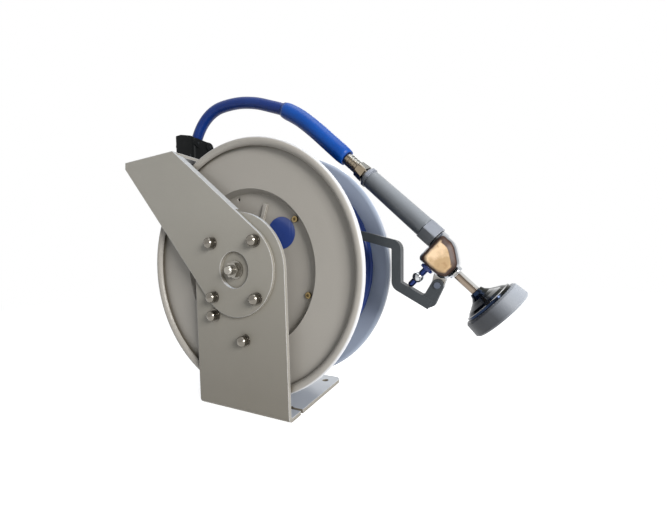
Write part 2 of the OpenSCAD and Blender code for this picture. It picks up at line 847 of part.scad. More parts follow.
module spring_case() color([0.60, 0.60, 0.58]) {
    wall = 2;
    facing_back(front_case) difference() {
        cylinder(r = case_r, h = case_l, $fn = 120);
        translate([0, 0, -1]) cylinder(r = case_r - wall, h = case_l - wall + 1, $fn = 120);
        cylinder(r = bush_r, h = case_l + 1);
    }
}

// Flat spiral strip, wound from the arbor out to the case
module power_spring() color([0.36, 0.38, 0.42]) {
    r_in = arbor_r + strip_t / 2;
    r_out = case_r - 8;
    steps = 24 * strip_turns;
    path = [
        for (k = [0:steps]) let (f = k / steps, a = 360 * strip_turns * f, r = r_in + (r_out - r_in) * f)
            [r * cos(a), r * sin(a)]
    ];
    facing_back(strip_front) linear_extrude(strip_w) polygon(bar_outline(path, strip_t));
}

// ---- Water path on the reel ----

riser_y = front_in + 4.9;
riser_r = 4;
riser_bore_r = 2.8;
elbow_d = hose_d + 19;
riser_a = wind_start_a + atan(elbow_d / inner_lay_r);
riser_top = drum_r + 7;

// Radial direction of the riser pipe, starting at radius r
module along_riser(r) {
    translate([0, riser_y, shaft_h]) rotate([0, 90 - riser_a, 0]) translate([0, 0, r]) children();
}

// Hub that turns on the shaft, with a groove that passes the water on
module swivel_hub() color([0.66, 0.62, 0.50]) {
    difference() {
        union() {
            facing_back(ratchet_back) cylinder(r = 24, h = front_hub - ratchet_back);
            facing_front(front_hub) cylinder(r = 30, h = 3);
        }
        facing_back(ratchet_back - 1) cylinder(r = shaft_r + run_fit, h = front_hub - ratchet_back + 2);
        facing_back(riser_y - 3.5) cylinder(r = shaft_r + 3, h = 7);
        along_riser(shaft_r) cylinder(r = riser_bore_r, h = 14);
        along_riser(20) cylinder(r = riser_r, h = 11);
    }
}

module riser_pipe() color([0.72, 0.70, 0.64]) {
    along_riser(20) difference() {
        cylinder(r = riser_r, h = riser_top - 20);
        translate([0, 0, -1]) cylinder(r = riser_bore_r, h = riser_top);
    }
}

// Block on the drum that turns the water along the first turn of hose
module hose_elbow() color([0.70, 0.62, 0.42]) {
    difference() {
        union() {
            translate(wind_lead(hose_d)) rotate([0, 90 - (wind_start_a + 90), 0]) {
                cylinder(r = 8.5, h = 16);
                translate([0, 0, 16]) sphere(r = 8.5);
            }
            along_riser(drum_r - 3) cylinder(r = riser_r + 0.8, h = 12);
        }
        facing_back(front_in - 1) cylinder(r = drum_r, h = drum_w, $fn = 180);
        along_riser(drum_r - 4) cylinder(r = riser_r, h = riser_top - drum_r + 4);
    }
}

// Every point of the hose, from the fitting round both layers
steps_per_turn = 24;
wind_steps = wind_turns * steps_per_turn;
wind_hex_r = hose_r + 0.4;
wind_path = concat(
    [wind_lead(hose_d)],
    [for (k = [0:wind_steps]) wind_point(k / steps_per_turn)],
    [for (z = [1:2]) [-outer_lay_r, out_last, shaft_h + z * hose_d * 1.2]],
    [[-outer_lay_r, out_last, shaft_h + 64]]
);

module hose_winding() color([0.10, 0.29, 0.66]) {
    sides = 6;
    rings = tube_rings(wind_path, wind_hex_r, sides);
    n = len(rings);
    echo(winding_gap_to_itself = self_gap(rings, steps_per_turn / 2));
    skin(concat([for (i = [0:n - 2]) rings[i]], [trim_ring(rings[n - 1], sweep_r)]));
}

// Least gap between the points of rings that lie at least lag rings apart
function self_gap(rings, lag) = min([
    for (i = [0:len(rings) - 1 - lag], j = [i + lag:len(rings) - 1])
        if (norm(rings[i][0] - rings[j][0]) < 3 * hose_d) for (p = rings[i], q = rings[j]) norm(p - q)
]);

// ---- Free hose ----

module hose_free() color([0.10, 0.29, 0.66]) {
    sides = 12;
    rings = tube_rings(hose_route, hose_r, sides);
    skin(concat([trim_ring(rings[0], sweep_r + seat_gap)], [for (i = [1:len(rings) - 1]) rings[i]]));
}

// Sleeve that keeps the hose from kinking at the grip: a tube with its own wall
module bend_sleeve() color([0.10, 0.38, 0.75]) {
    sides = 12;
    path = [for (i = [sleeve_from:len(hose_route) - 1]) hose_route[i]];
    outer = tube_rings(path, sleeve_d / 2, sides);
    inner = tube_rings(path, hose_r + seat_gap, sides);
    n = len(path);
    m = n * sides;
    walls = [for (i = [0:n - 2], k = [0:sides - 1])
        let (a = i * sides + k, b = i * sides + (k + 1) % sides)
        each [[a, b + sides, b], [a, a + sides, b + sides],
              [m + a, m + b, m + b + sides], [m + a, m + b + sides, m + a + sides]]];
    ends = [for (k = [0:sides - 1]) let (b = (k + 1) % sides, e = (n - 1) * sides)
        each [[k, b, m + b], [k, m + b, m + k], [e + k, m + e + b, e + b], [e + k, m + e + k, m + e + b]]];
    polyhedron(
        points = concat([for (r = outer) each r], [for (r = inner) each r]),
        faces = concat(walls, ends)
    );
}

// ---- Spray valve ----

collar_l = 7;
nut_l = 16;
ferrule_l = 25;
collar_z = 1 - grip_l - collar_l;
nut_z = collar_z - nut_l;

// Crimped end fitting of the hose
module hose_ferrule() color([0.76, 0.73, 0.66]) {
    valve_frame() translate([0, 0, nut_z - ferrule_l + 1]) {
        cylinder(r = 8.2, h = ferrule_l - 1);
        for (k = [0:3]) {
            translate([0, 0, 4 + 5 * k]) cylinder(r = 8.8, h = 3);
        }
    }
}

module swivel_nut() color([0.72, 0.68, 0.58]) {
    valve_frame() translate([0, 0, nut_z]) {
        intersection() {
            hex_prism(21, nut_l - 3);
            cylinder(r1 = 11, r2 = 11.8, h = nut_l - 3);
        }
        cylinder(r = 8, h = nut_l);
    }
}

module grip_collar() color([0.80, 0.81, 0.83]) {
    valve_frame() translate([0, 0, collar_z]) {
        cylinder(r = 11.5, h = collar_l);
        translate([0, 0, 2]) cylinder(r = grip_d / 2 + 0.5, h = collar_l - 3);
    }
}

module grip() color([0.33, 0.34, 0.36]) {
    edge = 1;
    start_r = grip_d / 2 - 0.7;
    valve_frame() translate([0, 0, 1 - grip_l]) rotate_extrude() polygon([
        [0, 0], [start_r - edge, 0], [start_r, edge], [grip_d / 2, grip_l - 1 - edge],
        [grip_d / 2 - edge, grip_l - 1], [0, grip_l - 1]
    ]);
}

module grip_hex_nut() color([0.62, 0.63, 0.67]) {
    valve_frame() rotate([0, 0, 30]) intersection() {
        hex_prism(grip_hex, 19);
        cylinder(r1 = grip_hex / 2 + 3, r2 = grip_hex / 2 + 1.4, h = 19);
    }
}

// Outline of the casting, seen from the side, at half its thickness and nearer to its sides
body_slices = [
    [9, [[-10.5, 23], [-10.5, 41], [6, 64.5], [26, 64.5], [32, 55], [33, 46], [33, 24], [28, 20], [-7, 20]]],
    [14.5, [[-7.5, 25], [-7.5, 40], [7.5, 61], [25, 61], [29.5, 53], [30.5, 45], [30.5, 27], [26, 23], [-4, 23]]],
    [18, [[-1, 30], [-1, 39], [10, 55], [22, 55], [25, 49], [26, 43], [26, 32], [22, 28], [2, 28]]]
];

module body_casting() {
    ys = [for (i = [2:-1:0]) -body_slices[i][0], for (i = [0:2]) body_slices[i][0]];
    outlines = [for (i = [2:-1:0]) body_slices[i][1], for (i = [0:2]) body_slices[i][1]];
    skin([for (k = [0:5]) [for (p = outlines[k]) [p[0], ys[k], p[1]]]]);
}

// Squarish casting with a lug for the lever pin and sockets for neck, grip and stem
module valve_body() color([0.83, 0.82, 0.80]) {
    valve_frame() difference() {
        union() {
            body_casting();
            translate([0, 0, 19]) cylinder(r = 12, h = 10);
            translate([spray_off, 0, body_mid[1]]) cylinder(r = 9, h = neck_start + 4 - body_mid[1]);
            translate([body_mid[0], 0, stem_z]) rotate([0, 90, 0]) cylinder(r = 11, h = 33 - body_mid[0]);
            translate([0, lug_t / 2, 0]) rotate([90, 0, 0]) linear_extrude(lug_t) {
                polygon([[14, 52], [24, 62], [37, 67.6], [45, 54.6], [32, 46.5]]);
                translate(pivot_at) circle(r = 7.5);
            }
        }
        translate([27, 0, stem_z]) rotate([0, 90, 0]) cylinder(r = stem_r + 0.5, h = 40);
        translate([33, 0, stem_z]) rotate([0, 90, 0]) cylinder(r = 9, h = 12);
        translate([pivot_at[0], 20, pivot_at[1]]) rotate([90, 0, 0]) cylinder(r = lever_pin_r, h = 40);
    }
}

module valve_bonnet() color([0.80, 0.79, 0.76]) {
    lever_side(stem_z, 33) difference() {
        cylinder(r = 8.5, h = bonnet_end - 33);
        translate([0, 0, -1]) cylinder(r = stem_r + run_fit, h = 20);
    }
}

// Rod pushed by the lever, with a domed end
module valve_stem() color([0.82, 0.82, 0.82]) {
    tip = bar_x - dome_r - seat_gap;
    lever_side(stem_z, 0) {
        translate([0, 0, 36]) cylinder(r = stem_r, h = tip - 36);
        translate([0, 0, tip]) sphere(r = dome_r);
    }
}

// Round collar on the rod
module stem_knob() color([0.80, 0.80, 0.78]) {
    lever_side(stem_z, 51) difference() {
        sphere(r = 7.3);
        translate([0, 0, -8]) cylinder(r = stem_r, h = 16);
    }
}

module spray_neck() color([0.80, 0.79, 0.76]) {
    valve_frame() translate([spray_off, 0, neck_start + 4])
        cylinder(r = neck_d / 2, h = bell_z - neck_start - 4);
}

bell_z = bumper_start - 20.5;

module spray_bell() color([0.76, 0.76, 0.75]) {
    rim = bell_d / 2;
    valve_frame() translate([spray_off, 0, bell_z]) rotate_extrude($fn = 96) polygon([
        [0, 0], [8, 0], [9.5, 4], [13.5, 8], [19, 11.2], [24.5, 14], [rim - 2.5, 16.8], [rim, 17.4],
        [rim, 20.5],
        [rim - 6, 20.5], [rim - 7, 17.2], [18, 13.2], [12, 9.8], [8, 6], [0, 6]
    ]);
}

module spray_bumper() color([0.36, 0.37, 0.39]) {
    r = bumper_d / 2;
    lip = 2;
    inside = bumper_in;
    valve_frame() translate([spray_off, 0, bumper_start]) rotate_extrude($fn = 96) polygon([
        [inside, 0], [r - 1.3 - lip, 0], [r - 1.3, lip], [r, bumper_l - lip], [r - lip, bumper_l],
        [inside + lip, bumper_l], [inside, bumper_l - lip]
    ]);
}

bumper_in = bell_d / 2 - 4.5;

// Perforated plate inside the rubber ring
module spray_face() color([0.60, 0.60, 0.60]) {
    holes = [[7, 6], [13, 12], [19, 18]];
    valve_frame() translate([spray_off, 0, bumper_start + 6]) difference() {
        cylinder(r = bumper_in, h = 4);
        for (h = holes, k = [0:h[1] - 1]) {
            rotate(360 * k / h[1]) translate([h[0], 0, -1]) cylinder(r = 0.9, h = 6, $fn = 16);
        }
    }
}

module lever_pin() color([0.75, 0.75, 0.74]) {
    l = lug_t + 8;
    valve_frame() translate([pivot_at[0], l / 2, pivot_at[1]]) rotate([90, 0, 0]) {
        cylinder(r = lever_pin_r, h = l);
        translate([0, 0, -1.5]) cylinder(r = 4, h = 1.5);
        translate([0, 0, l]) cylinder(r = 4, h = 1.5);
    }
}

// Corners of the lever's inner side, from the pin to the free end
lever_inner = [[59.1, 70.8], [70.5, 27], [32.2, -9.7], [57.9, -59.1]];

function left_of(d) = [-d[1], d[0]];

// Open path moved to its left by distance d, with its corners kept
function shifted(pts, d) = [
    for (i = [0:len(pts) - 1])
        let (
            a = left_of(unit(pts[max(i, 1)] - pts[max(i, 1) - 1])),
            e = min(i, len(pts) - 2),
            b = left_of(unit(pts[e + 1] - pts[e]))
        )
        pts[i] + d * (a + b) / (1 + a * b)
];

// Deep bar with three bends, and two cheeks that hold the pin on both sides of the valve's lug

module lever() color([0.27, 0.29, 0.31]) {
    middle = shifted(lever_inner, lever_t / 2);
    path = rounded(middle, 7.5);
    cheek = 3.5;
    gap = lug_t / 2 + 0.5;
    top = lever_inner[0];
    valve_frame() difference() {
        union() {
            translate([0, lever_w / 2, 0]) rotate([90, 0, 0]) linear_extrude(lever_w) {
                polygon(bar_outline(path, lever_t));
                translate(middle[3]) circle(r = lever_t / 2);
            }
            for (y = [gap + cheek, -gap]) {
                translate([0, y, 0]) rotate([90, 0, 0]) linear_extrude(cheek) {
                    translate(pivot_at) circle(r = 7.5);
                    polygon([
                        pivot_at + [-1.5, 7.35], top + [2.4, 5.7], top + [10, 2.8], top + [12, -13],
                        top + [6, -17], top + [1, -12.6], pivot_at + [3, -6.9]
                    ]);
                }
            }
        }
        translate([pivot_at[0], 20, pivot_at[1]]) rotate([90, 0, 0])
            cylinder(r = lever_pin_r + run_fit, h = 40);
    }
}

pedestal();
guide_arm();
arm_bolts();
arm_nuts();
shaft_nut();
main_shaft();
spring_arbor();
shaft_collar();
inlet_elbow();
pawl_bolt();
pawl_clip();
anchor_bolt();
pawl_spring();
guide_frame();
guide_screws();
roller_pins();
hose_free();
bend_sleeve();
hose_ferrule();
swivel_nut();
grip_collar();
grip();
grip_hex_nut();
valve_body();
valve_bonnet();
spray_neck();
spray_bell();
spray_face();
spray_bumper();
lever_pin();
power_spring();
front_disc();
back_disc();
drum_barrel();
front_hub_plate();
rear_hub_plate();
hub_screws();
hub_badge();
ratchet();
front_bush();
rear_bush();
swivel_hub();
riser_pipe();
hose_elbow();
spring_case();
hose_winding();
roller_left();
roller_right();
roller_front();
roller_back();
pawl();
lever();
valve_stem();
stem_knob();
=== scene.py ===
import math

import bpy
from mathutils import Matrix, Vector


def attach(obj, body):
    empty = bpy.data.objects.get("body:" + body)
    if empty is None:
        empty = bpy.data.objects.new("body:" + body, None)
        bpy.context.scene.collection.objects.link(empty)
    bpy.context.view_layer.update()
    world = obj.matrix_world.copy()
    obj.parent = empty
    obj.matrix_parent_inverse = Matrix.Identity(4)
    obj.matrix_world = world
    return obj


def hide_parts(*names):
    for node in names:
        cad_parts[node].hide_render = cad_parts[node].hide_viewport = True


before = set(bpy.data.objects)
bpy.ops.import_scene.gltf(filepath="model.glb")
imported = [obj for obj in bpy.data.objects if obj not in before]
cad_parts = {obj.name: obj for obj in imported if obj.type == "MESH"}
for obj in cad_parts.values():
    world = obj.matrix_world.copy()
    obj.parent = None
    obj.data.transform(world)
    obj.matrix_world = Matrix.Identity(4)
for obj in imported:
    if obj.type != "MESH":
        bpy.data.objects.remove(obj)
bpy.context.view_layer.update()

# ---------------------------------------------------------------- Viewpoint
# Eye-level view from close to the right of the pedestal, looking back to the left.
# A wide lens, as close to the reel as the reel is large.
EYE = Vector((0.32645, -0.4476, 0.2243))
YAW, PITCH, ROLL = 0.4764, 0.0336, -0.0295

ahead = Vector((-math.sin(YAW) * math.cos(PITCH), math.cos(YAW) * math.cos(PITCH), -math.sin(PITCH)))
right = Vector((math.cos(YAW), math.sin(YAW), 0))
above = right.cross(ahead)
right, above = (
    right * math.cos(ROLL) + above * math.sin(ROLL),
    above * math.cos(ROLL) - right * math.sin(ROLL),
)
lens = bpy.data.cameras.new("viewpoint")
lens.sensor_width = 36
lens.lens = 17.62
lens.shift_x = 0.0141
lens.shift_y = 0.0089
lens.clip_start = 0.01
camera = bpy.data.objects.new("viewpoint", lens)
camera.matrix_world = Matrix.Translation(EYE) @ Matrix((right, above, -ahead)).transposed().to_4x4()
bpy.context.collection.objects.link(camera)
bpy.context.scene.camera = camera


# ---------------------------------------------------------------- Free hose
# Washdown hose of smooth blue rubber over a braid, 18 mm outside, 13 mm bore.
# It rises from the drum through the roller guide, loops over and falls to the spray valve.
SHAFT = Vector((0, 0, 0.209))
HOSE_R = 0.009
HOSE_PLANE = -0.020
LEAD_OFF_R = 0.1676
PATH_STEPS = 6
HOSE_POINTS = [
    (-150, 283), (-150, 320), (-150, 356), (-150, 392), (-150, 412), (-146, 436), (-134, 457),
    (-118, 472), (-99, 481), (-78, 484), (-44, 482), (-10, 474), (20, 462), (46, 450), (72, 433),
    (98, 410), (122, 386), (147, 361),
]


class Signal:
    """An output of a shader node; sums and products of signals become Math nodes."""

    def __init__(self, finish, socket):
        self.finish = finish
        self.socket = socket

    def math(self, operation, first, second):
        return self.finish.node("Math", {"operation": operation}, {0: first, 1: second})

    def __add__(self, other):
        return self.math("ADD", self, other)

    def __sub__(self, other):
        return self.math("SUBTRACT", self, other)

    def __rsub__(self, other):
        return self.math("SUBTRACT", other, self)

    def __mul__(self, other):
        return self.math("MULTIPLY", self, other)

    __radd__ = __add__
    __rmul__ = __mul__


class Finish:
    """A finish: a material, or the sky, and the nodes that vary it over the piece."""

    def __init__(self, name, sky=None, **constants):
        self.material = sky or bpy.data.materials.new(name)
        self.material.use_nodes = True
        self.tree = self.material.node_tree
        self.shader = self.tree.nodes.get("Principled BSDF")
        for key, value in constants.items():
            self.feed(key.replace("_", " "), value)

    def feed(self, socket, value):
        """Sets a shader socket to a constant, or links a signal to it."""
        self.plug(self.shader.inputs[socket], value)

    def plug(self, target, value):
        if isinstance(value, Signal):
            self.tree.links.new(value.socket, target)
        elif isinstance(value, tuple) and len(value) == 3 and target.type == "RGBA":
            target.default_value = (*value, 1)
        else:
            target.default_value = value

    def surface(self, value):
        """Puts a shader in place of the finish's own."""
        for end in self.tree.nodes:
            if end.type in ("OUTPUT_MATERIAL", "OUTPUT_WORLD"):
                self.plug(end.inputs["Surface"], value)

    def node(self, kind, settings=None, sockets=None, out=0):
        made = self.tree.nodes.new("ShaderNode" + kind)
        for key, value in (settings or {}).items():
            if key == "stops":
                while len(made.color_ramp.elements) < len(value):
                    made.color_ramp.elements.new(0.5)
                for element, (place, shade) in zip(made.color_ramp.elements, value):
                    element.position = place
                    element.color = (shade, shade, shade, 1)
            else:
                setattr(made, key, value)
        for key, value in (sockets or {}).items():
            self.plug(made.inputs[key], value)
        return Signal(self, made.outputs[out])

    def place(self):
        """Position on the object, in metres."""
        return self.node("TexCoord", out="Object")

    def grain(self, scale, detail=3.0, stretch=(1, 1, 1), rough=0.5):
        """Noise of about 1 / scale metres, drawn out along the axes where stretch is small."""
        at = self.node("Mapping", None, {"Vector": self.place(), "Scale": stretch})
        return self.node(
            "TexNoise", None, {"Vector": at, "Scale": scale, "Detail": detail, "Roughness": rough}
        )

    def steps(self, value, stops):
        """Greys of a ramp over value."""
        return self.node("ValToRGB", {"stops": stops}, {"Fac": value})

    def blend(self, mask, first, second):
        """Colour first where mask is 0, second where it is 1."""
        return self.node("Mix", {"data_type": "RGBA"}, {0: mask, 6: first, 7: second}, out=2)

    def edge(self, radius):
        """Mask for painted edge highlights: 1 on sharp corners within radius of them, 0 on open faces."""
        round_normal = self.node("Bevel", {"samples": 6}, {"Radius": radius})
        true_normal = self.node("NewGeometry", out="Normal")
        same = self.node(
            "VectorMath", {"operation": "DOT_PRODUCT"}, {0: round_normal, 1: true_normal}, out="Value"
        )
        return self.steps(same, [(0.78, 1.0), (0.985, 0.0)])

    def crevice(self, reach):
        """Mask for painted shade: 1 deep in corners and round whatever stands on the surface, 0 in the
        open.
        """
        open_sky = self.node("AmbientOcclusion", {"samples": 5}, {"Distance": reach}, out="AO")
        return self.steps(open_sky, [(0.30, 1.0), (0.86, 0.0)])

    def relief(self, height, depth, radius=0.0):
        """Bumps of the given depth in metres; radius also softens the piece's corners."""
        sockets = {"Height": height, "Distance": depth, "Strength": 1.0}
        if radius:
            sockets["Normal"] = self.node("Bevel", {"samples": 6}, {"Radius": radius})
        self.feed("Normal", self.node("Bump", None, sockets))


def linear(red, green, blue):
    """A screen colour, 0 to 255, as the linear colour that a shader takes."""
    return tuple(
        c / 12.92 if c <= 0.04045 else ((c + 0.055) / 1.055) ** 2.4
        for c in (red / 255, green / 255, blue / 255)
    )


def smooth_path(points):
    """Points on a smooth curve through the given ones, PATH_STEPS to a span."""
    ends = [points[0] * 2 - points[1], *points, points[-1] * 2 - points[-2]]
    path = []
    for a, b, c, d in zip(ends, ends[1:], ends[2:], ends[3:]):
        for k in range(PATH_STEPS):
            t = k / PATH_STEPS
            bend = (2 * a - 5 * b + 4 * c - d) * t ** 2
            twist = (3 * b - a - 3 * c + d) * t ** 3
            path.append(0.5 * (2 * b + (c - a) * t + bend + twist))
    return [*path, points[-1]]


def tube_rings(path, radius, sides):
    """Rings of points square to a path; the path never runs along Y."""
    radii = radius if isinstance(radius, list) else [radius] * len(path)
    rings = []
    for i, (at, r) in enumerate(zip(path, radii)):
        way = (path[min(i + 1, len(path) - 1)] - path[max(i - 1, 0)]).normalized()
        side = Vector((0, 1, 0)).cross(way).normalized()
        top = way.cross(side)
        rings.append(
            [at + r * (math.cos(a) * side + math.sin(a) * top) for a in
             (2 * math.pi * k / sides for k in range(sides))]
        )
    return rings


def skin(name, rings, closed_ends=True, closed_loop=False):
    """A smooth mesh through rings of points."""
    sides = len(rings[0])
    count = len(rings)
    faces = []
    for i in range(count if closed_loop else count - 1):
        for k in range(sides):
            a, b = i * sides + k, i * sides + (k + 1) % sides
            c, d = (b + sides) % (count * sides), (a + sides) % (count * sides)
            faces.append((a, b, c, d))
    if closed_ends and not closed_loop:
        faces.append(tuple(reversed(range(sides))))
        faces.append(tuple((count - 1) * sides + k for k in range(sides)))
    mesh = bpy.data.meshes.new(name)
    mesh.from_pydata([tuple(p) for ring in rings for p in ring], [], faces)
    mesh.validate()
    piece = bpy.data.objects.new(name, mesh)
    bpy.context.collection.objects.link(piece)
    for face in mesh.polygons:
        face.use_smooth = len(face.vertices) == 4
    return piece


def on_cylinder(ring, radius):
    """The ring's points moved along Z onto a cylinder round the shaft."""
    return [Vector((p.x, p.y, SHAFT.z + math.sqrt(radius ** 2 - p.x ** 2))) for p in ring]


hose_blue = Finish("hose_blue", Specular_IOR_Level=0.24)
scuffs = hose_blue.steps(hose_blue.grain(38, 6), [(0.46, 0.0), (0.68, 1.0)])
hose_blue.feed("Base Color", hose_blue.blend(scuffs * 0.35, linear(10, 44, 112), linear(26, 64, 132)))
hose_blue.feed("Roughness", hose_blue.grain(60, 4) * 0.2 + 0.24)
hose_blue.relief(hose_blue.grain(900, 3), 0.00012)

hose_path = smooth_path([Vector((x / 1000, HOSE_PLANE, z / 1000)) for x, z in HOSE_POINTS])
hose_rings = tube_rings(hose_path, HOSE_R, 32)
hose_rings[0] = on_cylinder(hose_rings[0], LEAD_OFF_R)
hose = skin("free_hose", hose_rings)
hose.data.materials.append(hose_blue.material)
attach(hose, "frame")
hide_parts("hose_free")


# -------------------------------------------------------------- Bend sleeve
# Brighter blue moulded sleeve, 25 mm outside, that keeps the hose from kinking at the valve.
# It is pushed over the hose's end and butts against the crimped fitting.
SLEEVE_FROM = 13
SLEEVE_R = 0.0125
SLEEVE_BORE = 0.0093
LIP = 0.0012

sleeve_blue = Finish("sleeve_blue", Specular_IOR_Level=0.26)
flow = sleeve_blue.grain(26, 4, (1, 0.5, 1))
sleeve_blue.feed("Base Color", sleeve_blue.blend(flow, linear(2, 58, 138), linear(6, 80, 166)))
sleeve_blue.feed("Roughness", sleeve_blue.grain(90, 3) * 0.2 + 0.26)
sleeve_blue.relief(sleeve_blue.grain(1200, 2), 0.00008)

sleeve_path = hose_path[SLEEVE_FROM * PATH_STEPS:]
rounded_end = [SLEEVE_R - LIP, SLEEVE_R - LIP / 3]
radii = [*rounded_end, *[SLEEVE_R] * (len(sleeve_path) - 4), *reversed(rounded_end)]
outside = tube_rings(sleeve_path, radii, 32)
inside = tube_rings(sleeve_path, SLEEVE_BORE, 32)
sleeve = skin("bend_sleeve_soft", [*outside, *reversed(inside)], closed_loop=True)
sleeve.data.materials.append(sleeve_blue.material)
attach(sleeve, "frame")
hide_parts("bend_sleeve")


# ------------------------------------------------------------- Hose on drum
# The rest of the same hose, wound on the drum in two layers from the fitting at the front.
# Each turn lies level and then steps across; the outer turns stand off the drum on one side.
INNER_LAY, OUTER_LAY = 0.1315, 0.150
LAY_FRONT, LAY_BACK, LAY_PITCH = -0.058, 0.021, 0.01975
OUT_FIRST = 0.0005
TURNS = 6.25
TAIL_R = 0.1673
SLACK = 0.008
STEPS_PER_TURN = 48


def ease(t):
    return t * t * (3 - 2 * t)


def lay_across(t):
    """Distance along the drum after t turns."""
    if t < 4:
        return LAY_FRONT + LAY_PITCH * (math.floor(t) + ease(max(0, 2 * (t % 1) - 1)))
    if t < 4.75:
        return LAY_BACK
    if t < 5:
        return LAY_BACK + (OUT_FIRST - LAY_BACK) * ease(4 * t - 19)
    if t < 5.5:
        return OUT_FIRST
    if t < 6:
        return OUT_FIRST + (HOSE_PLANE - OUT_FIRST) * ease(2 * t - 11)
    return HOSE_PLANE


def lay_point(t):
    turn = math.radians(180 + 360 * (TURNS - t))
    radius = INNER_LAY + (OUTER_LAY - INNER_LAY) * ease(min(1, max(0, 2 * t - 8)))
    if 4.5 < t < 6:
        radius += SLACK * max(0, math.cos(turn)) ** 2
    return Vector((radius * math.cos(turn), lay_across(t), SHAFT.z + radius * math.sin(turn)))


first = lay_point(0)
start_turn = math.radians(180 + 360 * TURNS)
back_along = Vector((-math.sin(start_turn), 0, math.cos(start_turn)))
wound = [first + back_along * 0.018, first + back_along * 0.009]
wound += [lay_point(k / STEPS_PER_TURN) for k in range(int(TURNS * STEPS_PER_TURN) + 1)]
wound += [Vector((-OUTER_LAY, HOSE_PLANE, SHAFT.z + z)) for z in (0.012, 0.030, 0.048, 0.064)]
wound_rings = tube_rings(wound, HOSE_R, 20)
wound_rings[-1] = on_cylinder(wound_rings[-1], TAIL_R)
winding = skin("wound_hose", wound_rings)
winding.data.materials.append(hose_blue.material)
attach(winding, "reel")
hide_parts("hose_winding")


# ------------------------------------------------- Pedestal, arm and discs
# Sheet steel, cut and bent or pressed, all in the same satin grey powder coat.
# The coat gets painted highlights along its cut edges, painted shade in its corners and, on the pedestal
# and arm, a painted sky sheen on faces that look up.
DISC_R = 0.190


def dress(finish, *names):
    for name in names:
        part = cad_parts[name]
        if not part.material_slots:
            part.data.materials.append(finish.material)
        for place in part.material_slots:
            place.material = finish.material


def powder_coat(name, colour, edge_highlight, rough=0.40, gloss=0.0, highlight_width=0.0014):
    coat = Finish(name, Specular_IOR_Level=0.22, Coat_Weight=gloss, Coat_Roughness=0.16)
    # The edge mask paints a highlight along the cut edges.
    rim = coat.edge(highlight_width)
    cloud = coat.steps(coat.grain(9, 5), [(0.3, 0.0), (0.75, 1.0)])
    specks = coat.steps(coat.grain(700, 2), [(0.60, 0.0), (0.72, 1.0)])
    tone = coat.blend(cloud * 0.5, colour, tuple(c * 0.90 for c in colour))
    tone = coat.blend(specks * 0.25, tone, tuple(c * 1.18 for c in colour))
    # Painted shade in corners and round whatever stands on the coat.
    shadow = tuple(c * f for c, f in zip(colour, (0.40, 0.35, 0.26)))
    tone = coat.blend(coat.crevice(0.012) * 0.8, tone, shadow)
    coat.tone = coat.blend(rim * 0.9, tone, edge_highlight)
    coat.feed("Base Color", coat.tone)
    coat.feed("Roughness", coat.grain(30, 4) * 0.16 + (rough - 0.08))
    coat.relief(coat.grain(520, 3, rough=0.6), 0.00010, radius=0.0008)
    return coat


def facing(finish, x, y, z):
    """How far the bare surface faces the given direction, 1 straight at it and -1 away."""
    bare = finish.node("NewGeometry", out="Normal")
    return finish.node("VectorMath", {"operation": "DOT_PRODUCT"}, {0: bare, 1: (x, y, z)}, out="Value")


plate_coat = powder_coat("plate_coat", linear(161, 157, 148), linear(244, 244, 246))
# Front faces are painted darker towards the floor, as shade.
height = plate_coat.node("SeparateXYZ", None, {"Vector": plate_coat.place()}, out="Z")
low_front_shade = plate_coat.steps(height * 2, [(0.06, 1.0), (0.62, 0.0)]) * plate_coat.steps(
    facing(plate_coat, 0, -1, 0), [(0.80, 0.0), (0.95, 1.0)]
)
# Faces that look up get a painted pale sheen of the sky.
sky_sheen = plate_coat.steps(facing(plate_coat, 0, 0, 1), [(0.60, 0.0), (0.90, 1.0)])
shaded_coat = plate_coat.blend(low_front_shade * 0.55, plate_coat.tone, linear(100, 93, 80))
plate_coat.feed("Base Color", plate_coat.blend(sky_sheen * 0.85, shaded_coat, linear(206, 212, 220)))
dress(plate_coat, "guide_arm", "pedestal")


def disc_powder_coat(name):
    """The same coat on the discs, with a painted highlight on the outermost line of their rolled beads."""
    coat = powder_coat(
        name, linear(163, 158, 150), linear(206, 204, 197), rough=0.36, gloss=0.12, highlight_width=0.0011
    )
    flat = coat.node("VectorMath", {"operation": "MULTIPLY"}, {0: coat.place(), 1: (1, 0, 1)})
    from_shaft = coat.node("VectorMath", {"operation": "DISTANCE"}, {0: flat, 1: tuple(SHAFT)}, out="Value")
    # Painted highlight on the outermost line of the bead.
    bead_highlight = coat.steps(from_shaft * (0.5 / DISC_R), [(0.4925, 0.0), (0.4985, 1.0)])
    coat.tone = coat.blend(bead_highlight * 0.8, coat.tone, linear(238, 240, 244))
    coat.feed("Base Color", coat.tone)
    return coat


disc_coat = disc_powder_coat("disc_coat")
dress(disc_coat, "front_disc", "drum_barrel", "front_hub_plate", "rear_hub_plate", "spring_case")
inner_coat = disc_powder_coat("inner_coat")
# The inward face of the back disc is tinted blue-grey: a painted reflection of the blue hose and painted
# shade from the front disc.
inward = inner_coat.steps(facing(inner_coat, 0, -1, 0), [(0.30, 0.0), (0.60, 1.0)])
inner_coat.feed("Base Color", inner_coat.blend(inward * 0.85, inner_coat.tone, linear(150, 162, 182)))
dress(inner_coat, "back_disc")


